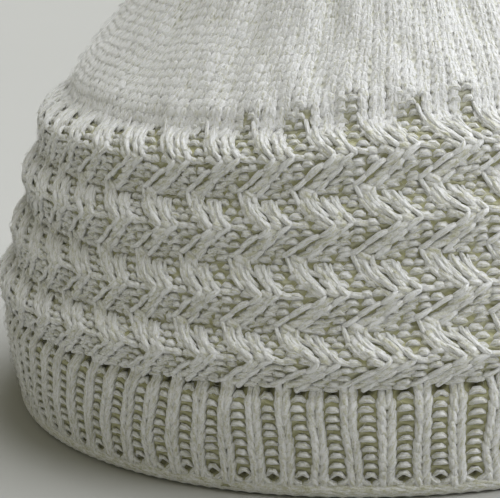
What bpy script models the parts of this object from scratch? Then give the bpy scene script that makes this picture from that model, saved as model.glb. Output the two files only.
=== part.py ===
"""A knitted kufi cap in metres, +Z up, resting on its rim with the origin under its middle.

Four knitted sections stand on each other: a rolled rim, a ribbed band, a side of
zigzag waves and a gathered crown. All of them follow one side curve, drawn through
a short table, and each is a closed wall: its outline goes up the outside and down
the inside, is spun round the cap's axis, and its points then sink by the depth of
the ribs, waves and folds. The front of the cap faces -Y.
"""

import bmesh
import bpy
import numpy as np

# Heights of the four sections, from the surface that the cap rests on
ROLL_HEIGHT = 0.0046
RIB_HEIGHT = 0.0182
WAVE_HEIGHT = 0.0532
CROWN_HEIGHT = 0.0460
SECTION_GAP = 0.0003

# Outside of the rolled rim, and how thick each section's knitting is
RIM_RADIUS = 0.0916
ROLL_THICKNESS = 0.0044
RIB_WALL = 0.0028
WAVE_WALL = 0.0028
CROWN_WALL = 0.0020

# How far the ribs, waves and folds stand out from their valleys
RIB_DEPTH = 0.0010
WAVE_DEPTH = 0.0014
FOLD_DEPTH = 0.0034

# The repeats of the knitting
WAVES_AROUND = 40
RIBS_PER_WAVE = 2
WAVE_TIERS = 4
FACETS_PER_RIB = 2
FACETS_PER_WAVE = 4
CROWN_FACETS = 96
ROLL_FACETS = 80
ROLL_SIDES = 8

# In widths of one wave: how far a wave swings sideways, where its middle starts and
# the slow lean of all of them. It turns back at this share of a tier's height.
WAVE_SWING = 0.62
WAVE_START = 0.49
WAVE_LEAN = 0.40
WAVE_BEND = 0.545

# Where the first knit column of the ribs stands, in widths of one rib
RIB_START = -0.14

# The knitting is pulled wider on one side of the cap than on the other
STRETCH = 0.15
STRETCH_SIDE = 1.77

# Side curve of the crests: section, share of its height, share of RIM_RADIUS
SIDE_CURVE = (
    ("rib", 0.00, 1.008),
    ("rib", 0.50, 1.020),
    ("wave", 0.00, 1.029),
    ("wave", 0.14, 1.026),
    ("wave", 0.27, 0.999),
    ("wave", 0.40, 0.971),
    ("wave", 0.64, 0.932),
    ("wave", 0.87, 0.880),
    ("crown", 0.00, 0.818),
    ("crown", 0.17, 0.744),
    ("crown", 0.37, 0.655),
    ("crown", 0.59, 0.565),
    ("crown", 0.77, 0.462),
    ("crown", 0.90, 0.335),
    ("crown", 0.975, 0.190),
    ("crown", 1.00, 0.070),
    ("crown", 0.985, 0.000),
)

# Long folds of the crown: degrees from the front, share of the crown's side
# where the fold begins, share of FOLD_DEPTH that it reaches
LONG_FOLDS = (
    (-9, 0.18, 0.80),
    (-37, 0.10, 1.00),
    (-74, 0.20, 0.90),
    (-101, 0.26, 0.75),
    (-133, 0.14, 0.95),
    (-160, 0.24, 0.80),
    (171, 0.16, 0.90),
    (140, 0.28, 0.75),
    (112, 0.15, 0.95),
    (84, 0.25, 0.80),
    (55, 0.18, 0.90),
    (26, 0.30, 0.70),
)
SHORT_FOLD_START = 0.52
SHORT_FOLD_DEPTH = 0.70
FOLD_WIDTH = 0.13

# Shares of a section's side where its outside and its inside have a row of points
RIB_ROWS = (np.linspace(0, 1, 3), np.linspace(0, 1, 3))
WAVE_ROWS = (
    np.sort(np.r_[np.arange(WAVE_TIERS + 1), np.arange(WAVE_TIERS) + WAVE_BEND]) / WAVE_TIERS,
    np.linspace(0, 1, WAVE_TIERS + 1),
)
CROWN_ROWS = (
    np.array([0, 0.10, 0.20, 0.31, 0.42, 0.53, 0.64, 0.75, 0.85, 0.93, 1]),
    np.array([0, 0.16, 0.33, 0.50, 0.67, 0.84, 1]),
)

COTTON = (0.78, 0.79, 0.74)
CURVE_STEPS = 24


def clear_scene():
    for thing in list(bpy.data.objects):
        bpy.data.objects.remove(thing, do_unlink=True)


def section_heights():
    """The lowest and highest point of each section."""
    rib = ROLL_HEIGHT + SECTION_GAP
    wave = rib + RIB_HEIGHT
    crown = wave + WAVE_HEIGHT
    return {
        "rib": (rib, wave),
        "wave": (wave, crown),
        "crown": (crown, crown + CROWN_HEIGHT),
    }


def side_curve():
    """The side curve as (radius, height) rows, the distance along it and the section ends.

    Each span between two rows of the table is a cubic whose end slopes point from
    the row before to the row after. Past the middle of the crown the curve goes on
    as its own mirror image, so that it meets the axis level.
    """
    heights = section_heights()
    knots = []
    for section, rise, reach in SIDE_CURVE:
        low, high = heights[section]
        knots.append((reach * RIM_RADIUS, low + rise * (high - low)))
    knots = np.array(knots)
    before = 2 * knots[:1] - knots[1:2]
    after = knots[-2:-1] * (-1, 1)
    padded = np.concatenate([before, knots, after])
    place = np.cumsum(np.r_[0, np.linalg.norm(np.diff(padded, axis=0), axis=1)])[:, None]
    slope = (padded[2:] - padded[:-2]) / (place[2:] - place[:-2])
    step = np.diff(place[1:-1], axis=0)
    t = np.linspace(0, 1, CURVE_STEPS, endpoint=False)[:, None]
    rows = []
    for start, end, s0, s1, span in zip(knots, knots[1:], slope, slope[1:], step):
        rows.append(
            (2 * t**3 - 3 * t**2 + 1) * start
            + (t**3 - 2 * t**2 + t) * s0 * span
            + (3 * t**2 - 2 * t**3) * end
            + (t**3 - t**2) * s1 * span
        )
    curve = np.concatenate(rows + [knots[-1:]])
    along = np.r_[0, np.cumsum(np.linalg.norm(np.diff(curve, axis=0), axis=1))]
    names = [row[0] for row in SIDE_CURVE]
    ends = {
        "rib": (0.0, along[names.index("wave") * CURVE_STEPS]),
        "wave": (along[names.index("wave") * CURVE_STEPS], along[names.index("crown") * CURVE_STEPS]),
        "crown": (along[names.index("crown") * CURVE_STEPS], along[-1]),
    }
    return curve, along, ends


def wall_points(section, shares, inset):
    """Points of a section's wall at these shares of its side, this far inside the crests."""
    curve, along, ends = side_curve()
    low, high = ends[section]
    low = low if section == "rib" else low + SECTION_GAP
    at = low + np.asarray(shares) * (high - low)
    radius = np.interp(at, along, curve[:, 0])
    height = np.interp(at, along, curve[:, 1])
    slope = np.gradient(curve, along, axis=0)
    run = np.interp(at, along, slope[:, 0])
    rise = np.interp(at, along, slope[:, 1])
    length = np.hypot(run, rise)
    out = np.stack([rise / length, -run / length], axis=-1)
    points = np.stack([radius, height], axis=-1) - np.asarray(inset)[..., None] * out
    points[:, 0] = np.maximum(points[:, 0], 0)
    return points, out


def around(turn):
    """The real angle from the front, in radians, of a place this many turns round the knitting."""
    evenly = 2 * np.pi * turn
    return evenly + STRETCH * (np.sin(evenly - STRETCH_SIDE) + np.sin(STRETCH_SIDE))


def wave_turn(turn, share):
    """Where a column of the waves lies after its swings to the right and back."""
    rise = np.mod(share * WAVE_TIERS, 1)
    swing = np.where(rise < WAVE_BEND, rise / WAVE_BEND, (1 - rise) / (1 - WAVE_BEND))
    drift = WAVE_START + WAVE_SWING * swing + WAVE_LEAN * share
    return turn + drift / WAVES_AROUND


def rib_turn(turn, share):
    """Where a column of the ribs lies: straight above its place in the rim."""
    return turn + RIB_START / (WAVES_AROUND * RIBS_PER_WAVE)


def rib_sink(turn, share, outside):
    """Purl columns lie back on the outside, knit columns on the inside."""
    crest = 0.5 + 0.5 * np.cos(2 * np.pi * turn * WAVES_AROUND * RIBS_PER_WAVE)
    return RIB_DEPTH * (1 - crest) if outside else -RIB_DEPTH * crest


def wave_sink(turn, share, outside):
    """The ground between the waves lies back, and the inside is plain."""
    crest = 0.5 + 0.5 * np.cos(2 * np.pi * turn * WAVES_AROUND)
    return WAVE_DEPTH * (1 - crest) if outside else 0 * turn


def fold_depth(angle, share):
    """How far the crown is drawn in at this angle: narrow valleys that deepen upwards."""
    long_folds = np.array(LONG_FOLDS, float)
    places = np.radians(long_folds[:, 0])
    gaps = np.mod(places - np.roll(places, -1), 2 * np.pi)
    folds = [(a, s, d) for a, (_, s, d) in zip(places, long_folds)]
    folds += [(a - g / 2, SHORT_FOLD_START, SHORT_FOLD_DEPTH) for a, g in zip(places, gaps)]
    depth = 0 * angle
    for place, start, reach in folds:
        off = np.arctan2(np.sin(angle - place), np.cos(angle - place))
        rise = np.clip((share - start) / (1 - start), 0, 1)
        fade = np.clip((1 - share) / 0.12, 0, 1)
        depth = depth + reach * rise**0.8 * fade * np.exp(-((off / FOLD_WIDTH) ** 2))
    return FOLD_DEPTH * depth


def crown_sink(turn, share, outside):
    return fold_depth(around(turn), share)


def make_object(name, bm, colour):
    bmesh.ops.remove_doubles(bm, verts=bm.verts, dist=1e-6)
    bmesh.ops.recalc_face_normals(bm, faces=bm.faces)
    mesh = bpy.data.meshes.new(name)
    bm.to_mesh(mesh)
    bm.free()
    mesh.shade_smooth()
    mesh.set_sharp_from_angle(angle=np.radians(50))
    material = bpy.data.materials.new(name + "_cotton")
    material.use_nodes = True
    shader = material.node_tree.nodes["Principled BSDF"]
    shader.inputs["Base Color"].default_value = (*colour, 1)
    shader.inputs["Roughness"].default_value = 0.9
    shader.inputs["Metallic"].default_value = 0.0
    mesh.materials.append(material)
    return bpy.data.objects.new(name, mesh)


def spin_outline(outline, facets):
    """Spins a closed outline of (radius, height) rows round Z, starting at the front.

    Each point keeps the number of its outline row, so that it can be found again.
    """
    bm = bmesh.new()
    row_of = bm.verts.layers.int.new("row")
    verts = []
    for number, (radius, height) in enumerate(outline):
        vert = bm.verts.new((0, -radius, height))
        vert[row_of] = number
        verts.append(vert)
    pairs = zip(verts, verts[1:] + verts[:1])
    edges = [bm.edges.new(pair) for pair in pairs]
    bmesh.ops.spin(
        bm,
        geom=verts + edges,
        cent=(0, 0, 0),
        axis=(0, 0, 1),
        angle=2 * np.pi,
        steps=facets,
        use_merge=True,
    )
    return bm, row_of


def knitted_section(name, section, wall, rows, facets, sink, sway=None):
    """One section: its wall is spun, and each point is then moved along the surface and into it."""
    outer_rows, inner_rows = rows
    shares = np.concatenate([outer_rows, inner_rows[::-1]])
    outside = np.arange(len(shares)) < len(outer_rows)
    insets = np.where(outside, 0, wall)
    outline, out = wall_points(section, shares, insets)
    bm, row_of = spin_outline(outline, facets)
    for vert in bm.verts:
        row = vert[row_of]
        radius, height = outline[row]
        turn = np.arctan2(vert.co.x, -vert.co.y) / (2 * np.pi)
        depth = sink(turn, shares[row], outside[row])
        place = sway(turn, shares[row]) if sway else turn
        angle = around(place)
        radius = max(radius - depth * out[row, 0], 0) if radius > 1e-6 else 0
        height = height - depth * out[row, 1]
        vert.co = (radius * np.sin(angle), -radius * np.cos(angle), height)
    return make_object(name, bm, COTTON)


def rolled_rim():
    """A knitted edge rolled into a tube, flat where it rests."""
    corner = np.pi / ROLL_SIDES
    angles = np.arange(ROLL_SIDES) * 2 * corner - np.pi / 2 + corner
    tall = ROLL_HEIGHT / 2 / np.cos(corner)
    deep = ROLL_THICKNESS / 2 / np.cos(corner)
    middle = RIM_RADIUS - ROLL_THICKNESS / 2
    outline = np.stack([middle + deep * np.cos(angles), ROLL_HEIGHT / 2 + tall * np.sin(angles)], axis=-1)
    bm, _ = spin_outline(outline, ROLL_FACETS)
    return make_object("rim_roll", bm, COTTON)


def build_cap():
    ribs = WAVES_AROUND * RIBS_PER_WAVE
    return [
        rolled_rim(),
        knitted_section("rib_band", "rib", RIB_WALL, RIB_ROWS, ribs * FACETS_PER_RIB, rib_sink, rib_turn),
        knitted_section(
            "wave_side", "wave", WAVE_WALL, WAVE_ROWS, WAVES_AROUND * FACETS_PER_WAVE, wave_sink, wave_turn
        ),
        knitted_section("crown", "crown", CROWN_WALL, CROWN_ROWS, CROWN_FACETS, crown_sink),
    ]


def main():
    clear_scene()
    collection = bpy.data.collections.new("kufi_cap")
    bpy.context.scene.collection.children.link(collection)
    middle = bpy.data.objects.new("cap_middle", None)
    collection.objects.link(middle)
    for piece in build_cap():
        collection.objects.link(piece)
        piece.parent = middle


main()
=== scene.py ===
"""A knitted kufi cap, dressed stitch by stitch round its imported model, in metres.

Every visible stitch is a short strand of cotton yarn laid on one surface: the side
curve of the cap, turned round its axis and drawn in by the crown's folds. Strands of
one kind are one joined mesh. Behind them a thin closed wall carries the purl side of
the knitting, which shows inside the cap, and short loose hairs stand off the yarn.

The front of the cap faces -Y. A place on the knitting has a turn, 0 at the front and
growing towards +X, a distance along the side from the hem up, and a lift outwards.
Stitches are counted in wales round the cap and in rows upwards.
"""

import bpy
import numpy as np
from mathutils import Matrix, Vector


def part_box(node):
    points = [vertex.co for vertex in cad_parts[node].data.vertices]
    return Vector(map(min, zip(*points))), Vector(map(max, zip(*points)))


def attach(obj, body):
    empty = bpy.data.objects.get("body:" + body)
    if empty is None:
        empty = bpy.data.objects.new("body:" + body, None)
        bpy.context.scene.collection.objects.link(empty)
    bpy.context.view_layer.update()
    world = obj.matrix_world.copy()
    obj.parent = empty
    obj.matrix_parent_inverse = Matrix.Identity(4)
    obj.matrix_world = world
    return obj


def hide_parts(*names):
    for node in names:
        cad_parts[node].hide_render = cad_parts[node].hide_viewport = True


bl_info = {
    "name": "Kufi Cap",
    "version": (1, 0, 0),
    "blender": (4, 5, 0),
    "location": "View3D > Sidebar > Kufi Cap",
    "description": "Knits a kufi cap of single strands round its packed model",
    "category": "Add Mesh",
}

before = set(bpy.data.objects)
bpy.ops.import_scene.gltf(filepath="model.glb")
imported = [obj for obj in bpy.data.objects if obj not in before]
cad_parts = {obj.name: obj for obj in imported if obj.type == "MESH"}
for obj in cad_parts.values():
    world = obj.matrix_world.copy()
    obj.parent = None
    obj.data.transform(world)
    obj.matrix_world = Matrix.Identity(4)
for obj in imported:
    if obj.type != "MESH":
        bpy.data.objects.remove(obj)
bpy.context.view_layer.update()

# Height of the rim's solid, and so of the rolled hem
RIM_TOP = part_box("rim_roll")[1].z

# Side curve of the crests in millimetres: radius and height of its knots, the knots at
# which the waves and the crown begin, and the steps between two knots
SIDE_CURVE_MM = (
    (92.33, 4.9),
    (93.43, 14.0),
    (94.26, 23.1),
    (93.98, 30.55),
    (91.51, 37.46),
    (88.94, 44.38),
    (85.37, 57.15),
    (80.61, 69.38),
    (74.93, 76.3),
    (68.15, 84.12),
    (60.00, 93.32),
    (51.75, 103.44),
    (42.32, 111.72),
    (30.69, 117.7),
    (17.40, 121.15),
    (6.40, 122.1),
    (0.0, 121.6),
)
WAVE_KNOT = 2
CROWN_KNOT = 8
CURVE_STEPS = 24

# The repeats of the knitting: round the cap, and up each of its parts
WAVES = 40
WALES = 160
WAVE_WALES = WALES // WAVES
TIERS = 4
RIB_ROWS = 9
WAVE_ROWS = 32
CROWN_WALES = 140
CROWN_ROWS = 45

# Rows of the rib that stand behind the hem
RIB_SUNK = 0.4

# Rows of the waves' ground that reach up between the waves into the crown, and places in
# turns from the front where the crown is knitted over so many of them
OPEN_ROWS = 3
CLOSED_TURNS = (-0.5, -0.35, -0.14, -0.03)
CLOSED_ROWS = (0, 4, 4, 0)

# The patches that the crown leaves open for this ground, in wales: where the middle of each
# stands in a wave, half its width, and how fast it narrows with the rows to this power,
# counted up to the last one
PATCH_PLACE = 3.1
PATCH_HALF = 0.85
PATCH_NARROWING = 0.20
PATCH_POWER = 1.5
PATCH_LAST = 9

# Rows of the crown in each of its three meshes: from, up to, and how many wales one stitch
# stands for, because they run together towards the top
CROWN_SPANS = (((-1, 13, 1),), ((13, 26, 1),), ((26, 38, 2), (38, 44, 4)))

# The crown's wales lean in wales by this much everywhere and by this much more towards an
# angle in radians, growing over these rows. The stitches are as wide as this share of
# their room, but no wider than so many yarns, and end this far before the apex in metres
CROWN_LEAN = 0.3
CROWN_LEAN_MORE = 0.5
CROWN_LEAN_SIDE = 0.7
CROWN_LEAN_ROWS = 18
CROWN_FILL = 1.35
CROWN_WIDEST = 1.6
CROWN_END = 0.0016

# The tie of the crown: its turns, its outer radius and how much closer it comes with each
# turn in metres, how high it begins and how much it rises with each turn in half yarns,
# and the turns over which its two ends are tucked in and how deep, in half yarns too
TIE_TURNS = 3.2
TIE_RADIUS = 0.0021
TIE_CLOSER = 0.0002
TIE_LIFT, TIE_RISE = 0.9, 0.5
TIE_END = 0.2
TIE_TUCKS = (1.5, 2.0)

# How deep the knit columns of the rib lie, in half yarns: everywhere, how much more behind
# the hem from a row downwards, and what share of the groove's depth the columns take that
# run through it and those that end in it
RIB_DEEP = 0.3
HEM_DEEPER, HEM_TOP_ROW = 1.1, -0.1
RIB_THROUGH, RIB_ENDING = 0.2, 0.4

# How far up in rows the heads stand in their row: in the rib, in the waves' ground, and
# how much more in the ground's first row; and how much higher the heads lie in the open
# rows, in half yarns
RIB_HEAD_ROW = 0.90
GROUND_HEAD_ROW, FIRST_HEAD_ROW = 0.1, 0.35
OPEN_LIFT = 0.3

# The rolled hem, an oval tube as tall as the rim's solid, in metres: radius of the ring
# that its middle follows, half its depth, and height and sinking of its ridges
HEM_RING = 0.0893
HEM_DEEP = 0.0023
HEM_RIDGE = 0.00012
HEM_SUNK = 0.00015

# Zigzag of the waves in wales: how far it swings, how far the waves lean on their whole
# way up, and where the first wale of the waves and of the rib stands; and the rows of a
# tier between which it climbs to the right
SWING = 2.73
LEAN = 1.6
WAVE_PLACE = 1.16
RIB_PLACE = -0.25
CORNER_ROW = 0.75
TIP_ROW = 4.2

# The level ridges of the tiers: half their depth in metres, the share of a tier at which
# each one stands highest, how far they are moved inwards as a share of that depth, and
# the shares of the waves' height between which they fade in and out
TIER_SWELL = 0.0011
SWELL_CREST = 0.54
SWELL_INWARDS = 0.2
SWELL_IN = (-0.07, 0.0)
SWELL_OUT = (1.0, 1.09)

# The groove between the rib and the waves: its row of the rib, half its width in metres
# and its depth in half yarns
SEAM_ROW = 9.3
SEAM_WIDTH = 0.0007
SEAM_DEPTH = 2.0

# The soft knitting hangs a little out of its even grid. At these wales, and in the middle
# of each tier from the lowest up, it is pulled sideways in wales and upwards in rows
DRIFT_WALES = (-60, -34, -26, -22, -18, -14, -10, -6, -2, 3, 9, 26)
DRIFT_SIDE = (
    (0, 1.4, 1.6, 1.55, 1.35, 0.85, 0.35, -0.02, 0.02, 0.25, 0.30, 0),
    (0, 0.9, 1.0, 0.73, 0.48, 0.16, -0.10, -0.15, 0.04, 0.35, 0.40, 0),
    (0, -0.3, -0.34, -0.27, -0.15, -0.15, -0.20, -0.02, 0.16, 0.35, 0.40, 0),
    (0, -0.8, -0.84, -0.71, -0.59, -0.40, -0.34, -0.34, -0.21, 0.16, 0.20, 0),
)
DRIFT_RISE = (
    (0, 0.8, 0.9, 0.8, 0.6, 0.6, 0.4, 0.3, 0.2, 0.5, 0.5, 0),
    (0, -0.3, -0.3, -0.4, -0.4, -0.3, -0.2, -0.2, -0.1, 0.3, 0.3, 0),
    (0, -0.7, -0.8, -0.85, -0.7, -0.7, -0.55, -0.2, 0.2, 0.6, 0.6, 0),
    (0, -0.8, -1.0, -1.2, -1.2, -1.2, -1.0, -0.6, 0.1, 0.6, 0.6, 0),
)

# The pull grows between these shares of the rib's height, and fades out over so many
# metres of the crown
DRIFT_IN = (0.2, 1.1)
DRIFT_OUT = 0.04

# The knitting is pulled wider on one side of the cap than on the other: how much, and
# the angle in radians of that side
STRETCH = 0.15
STRETCH_SIDE = 1.77

# Long folds of the crown: degrees from the front, share of the crown's side where
# the fold begins, share of the fold depth that it reaches, half its width in degrees
LONG_FOLDS = (
    (-9, 0.08, 0.70, 3.6),
    (-26, 0.03, 0.80, 4.5),
    (-49, 0.00, 1.45, 5.5),
    (-74, 0.14, 0.90, 7.5),
    (-101, 0.26, 0.75, 7.5),
    (-133, 0.14, 0.95, 7.5),
    (-160, 0.24, 0.80, 7.5),
    (171, 0.16, 0.90, 7.5),
    (140, 0.28, 0.75, 7.5),
    (112, 0.15, 0.95, 7.5),
    (84, 0.25, 0.80, 7.5),
    (55, 0.18, 0.90, 7.5),
    (19, 0.16, 0.80, 5.0),
)

# A short fold stands halfway between two long ones: where it begins, its reach, and half
# its width in degrees. Every fold deepens with this power of its share, narrows by this
# share between two shares of the crown's side, and ends over the last share
SHORT_FOLD = (0.52, 0.70, 7.5)
FOLD_POWER = 0.6
FOLD_NARROWING = 0.42
FOLD_NARROWS = (0.45, 0.85)
FOLD_END = 0.12

# Hand knitting is never quite even: how far a stitch strays sideways in wales, and
# upwards and outwards in metres, over how many metres the first two end before the apex,
# and the sine waves that make up each: their number, how often they repeat round the cap
# from and up to, and the most radians that they go through for a metre upwards
STRAY_SIDE = 0.08
STRAY_RISE = 0.00020
STRAY_LIFT = 0.00018
STRAY_END = 0.02
STRAY_WAVES = 9
STRAY_TURNS = (2, 46)
STRAY_CLIMB = 420

# No stitch comes nearer to the axis than this, in metres
CLOSEST = 0.0002

# How far the thickness varies from one strand to the next and along each one, and the
# length in yarns over which the fibres of two strands begin at different places
STRAND_SPREAD = 0.06
STRAND_WAVER = 0.07
FIBRE_START = 50

SEED = 11

# Loose hairs: their number, the shortest and longest in metres, how thick they are as a
# share of the yarn, the most that they bend in radians for each metre, how far before the
# apex they end, and a radius over the cap's widest in metres
HAIRS = 8000
HAIR_LENGTHS = (0.0012, 0.0034)
HAIR_THICKNESS = 0.05
HAIR_BEND = 500
HAIR_END = 0.006
WIDEST = 0.095

# Stations of a hair as shares of its length, and how high each one stands in half yarns:
# over its root's height, times a share between these two
HAIR_STATIONS = np.array([-0.5, -0.15, 0.2, 0.5])
HAIR_RISE = np.array([-0.6, 0.5, 1.0, 0.9])
HAIR_ROOT = 0.6
HAIR_RISES = (0.3, 1.1)

# How much painted shade a strand gets for each half yarn that it lies deeper
DEPTH_PAINTED_SHADE = 0.16

# The wall behind the stitches, in metres under the crests: its outer and its inner face,
# how much deeper both lie under the waves and the rib than under the crown, how deep the
# groove under the waves is in both, and the outer face in the middle of the top
WALL_OUTER, WALL_INNER = 0.0007, 0.0021
WALL_OUTER_SUNK, WALL_INNER_SUNK = 0.0005, 0.0004
WALL_OUTER_GROOVE, WALL_INNER_GROOVE = 0.0008, 0.0006
WALL_TOP = 0.00125

# It rises out of its deeper place between these metres over the crown's foot, and its
# groove is shallower by this share behind the knit columns
WALL_RISES = (0.001, 0.008)
GROOVE_SHALLOWER = 0.4

# Painted shade on the wall: inside the cap, outside it, how much more where it lies deeper
# and in the rib, and in the groove and the eyes, where shade falls between the stitches
INSIDE_PAINTED_SHADE, OUTSIDE_PAINTED_SHADE = 0.05, 0.20
SUNK_PAINTED_SHADE, RIB_PAINTED_SHADE = 0.55, 0.12
HOLE_PAINTED_SHADE = 2.2

# The wall's groove and the eyes at the feet of the purl columns: rows of the rib and half
# widths in metres
GROOVE_ROW, GROOVE_WIDTH = 9.25, 0.0008
EYE_MIDDLE, EYE_WIDTH = 0.2, 0.0007


class KufiYarnSettings(bpy.types.PropertyGroup):
    yarn: bpy.props.FloatProperty(
        name="Yarn thickness",
        description="Thickness of one strand of the yarn",
        default=0.00140,
        min=0.0006,
        max=0.0025,
        unit="LENGTH",
    )
    cotton: bpy.props.FloatVectorProperty(
        name="Cotton",
        description="Colour of the yarn where light reaches it",
        default=(0.868, 0.870, 0.885),
        size=3,
        min=0,
        max=1,
        subtype="COLOR",
    )
    # The colour that painted shade mixes towards: the olive shade deep between the stitches
    shade_colour: bpy.props.FloatVectorProperty(
        name="Hollows",
        description="Colour of the yarn deep between the stitches",
        default=(0.46, 0.45, 0.26),
        size=3,
        min=0,
        max=1,
        subtype="COLOR",
    )
    ply_depth: bpy.props.FloatProperty(
        name="Ply depth",
        description="Depth of the grooves between the twisted plies",
        default=0.00020,
        min=0,
        max=0.0005,
        unit="LENGTH",
    )


class KufiShapeSettings(bpy.types.PropertyGroup):
    wave_depth: bpy.props.FloatProperty(
        name="Wave depth",
        description="How far the zigzag waves stand out from the purl ground",
        default=0.00030,
        min=0,
        max=0.003,
        unit="LENGTH",
    )
    rib_depth: bpy.props.FloatProperty(
        name="Rib depth",
        description="How far the knit columns of the rim stand out from the purl columns",
        default=0.00012,
        min=0,
        max=0.003,
        unit="LENGTH",
    )
    fold_depth: bpy.props.FloatProperty(
        name="Fold depth",
        description="How deep the gathers of the crown are",
        default=0.0042,
        min=0,
        max=0.006,
        unit="LENGTH",
    )


class KufiStageSettings(bpy.types.PropertyGroup):
    floor: bpy.props.FloatVectorProperty(
        name="Floor",
        description="Colour of the floor",
        default=(0.48, 0.48, 0.465),
        size=3,
        min=0,
        max=1,
        subtype="COLOR",
    )
    key_power: bpy.props.FloatProperty(
        name="Key light",
        description="Strength of the soft light behind the right, in watts per square metre",
        default=4.2,
        min=0,
        max=20,
    )
    right_power: bpy.props.FloatProperty(
        name="Right light",
        description="Strength of the soft light from the right, in watts per square metre",
        default=0.4,
        min=0,
        max=20,
    )
    left_power: bpy.props.FloatProperty(
        name="Left light",
        description="Strength of the soft light above the left, in watts per square metre",
        default=0.02,
        min=0,
        max=20,
    )
    sky: bpy.props.FloatProperty(
        name="Sky",
        description="Strength of the even light from all round",
        default=0.20,
        min=0,
        max=5,
    )


def side_curve():
    """Points (radius, height) of the side curve and the distance along it.

    Each span between two rows of the table is a cubic whose end slopes point from
    the row before to the row after.
    """
    knots = np.array(SIDE_CURVE_MM) / 1000
    before = 2 * knots[:1] - knots[1:2]
    after = knots[-2:-1] * (-1, 1)
    padded = np.concatenate([before, knots, after])
    place = np.cumsum(np.r_[0, np.linalg.norm(np.diff(padded, axis=0), axis=1)])[:, None]
    slope = (padded[2:] - padded[:-2]) / (place[2:] - place[:-2])
    span = np.diff(place[1:-1], axis=0)[:, None]
    t = np.linspace(0, 1, CURVE_STEPS, endpoint=False)[None, :, None]
    a, b = knots[:-1, None], knots[1:, None]
    sa, sb = slope[:-1, None] * span, slope[1:, None] * span
    spans = (
        (2 * t**3 - 3 * t**2 + 1) * a
        + (t**3 - 2 * t**2 + t) * sa
        + (3 * t**2 - 2 * t**3) * b
        + (t**3 - t**2) * sb
    )
    curve = np.concatenate([spans.reshape(-1, 2), knots[-1:]])
    along = np.r_[0, np.cumsum(np.linalg.norm(np.diff(curve, axis=0), axis=1))]
    return curve, along


# The distance along the side and the height at which each part begins, the heights up to
# two knots over the crown's foot, how far apart the waves' rows are, and the slopes of the
# side curve
CURVE, ALONG = side_curve()
WAVE_FOOT = ALONG[WAVE_KNOT * CURVE_STEPS]
CROWN_FOOT = ALONG[CROWN_KNOT * CURVE_STEPS]
APEX = ALONG[-1]
WAVE_LOW, WAVE_HIGH = CURVE[WAVE_KNOT * CURVE_STEPS, 1], CURVE[CROWN_KNOT * CURVE_STEPS, 1]
HEIGHTS = CURVE[: (CROWN_KNOT + 2) * CURVE_STEPS, 1]
ROW_HEIGHT = (CROWN_FOOT - WAVE_FOOT) / WAVE_ROWS
RUN = np.gradient(CURVE[:, 0], ALONG)
RISE = np.gradient(CURVE[:, 1], ALONG)
RUN, RISE = RUN / np.hypot(RUN, RISE), RISE / np.hypot(RUN, RISE)


def around(turn):
    """The angle from the front, in radians, of a turn round the knitting: 2 pi turns and a sine
    that spreads one side and closes up the other, and is 0 at the front."""
    evenly = 2 * np.pi * turn
    return evenly + STRETCH * (np.sin(evenly - STRETCH_SIDE) + np.sin(STRETCH_SIDE))


def smooth(low, high, x):
    """0 up to low, 1 from high on, and the cubic 3t^2 - 2t^3 between them."""
    t = np.clip((x - low) / (high - low), 0, 1)
    return t * t * (3 - 2 * t)


def stray(turn, along, seed):
    """A smooth uneven value of about -1 to 1: sine waves of seeded pitch and phase, added up."""
    random = np.random.default_rng(seed)
    turns = random.integers(*STRAY_TURNS, STRAY_WAVES)
    climbs = random.uniform(-STRAY_CLIMB, STRAY_CLIMB, STRAY_WAVES)
    phases = random.uniform(0, 2 * np.pi, STRAY_WAVES)
    total = 0 * turn
    for count, climb, phase in zip(turns, climbs, phases):
        total = total + np.sin(2 * np.pi * count * turn + climb * along + phase)
    return total / np.sqrt(STRAY_WAVES)


def drift(turn, along):
    """How far the knitting is pulled sideways in wales and upwards in rows: straight lines
    between the places of the two tables, growing in over the rib and fading out in the crown."""
    wale = np.mod(turn * WALES + WALES / 2, WALES) - WALES / 2
    tier = np.clip(wave_share(along) * TIERS - 0.5, 0, TIERS - 1)
    fade = smooth(DRIFT_IN[0] * WAVE_FOOT, DRIFT_IN[1] * WAVE_FOOT, along)
    fade = fade - smooth(CROWN_FOOT, CROWN_FOOT + DRIFT_OUT, along)
    side = rise = 0
    for number in range(TIERS):
        weight = fade * np.clip(1 - np.abs(tier - number), 0, 1)
        side = side + weight * np.interp(wale, DRIFT_WALES, DRIFT_SIDE[number])
        rise = rise + weight * np.interp(wale, DRIFT_WALES, DRIFT_RISE[number])
    return side, rise


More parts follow.
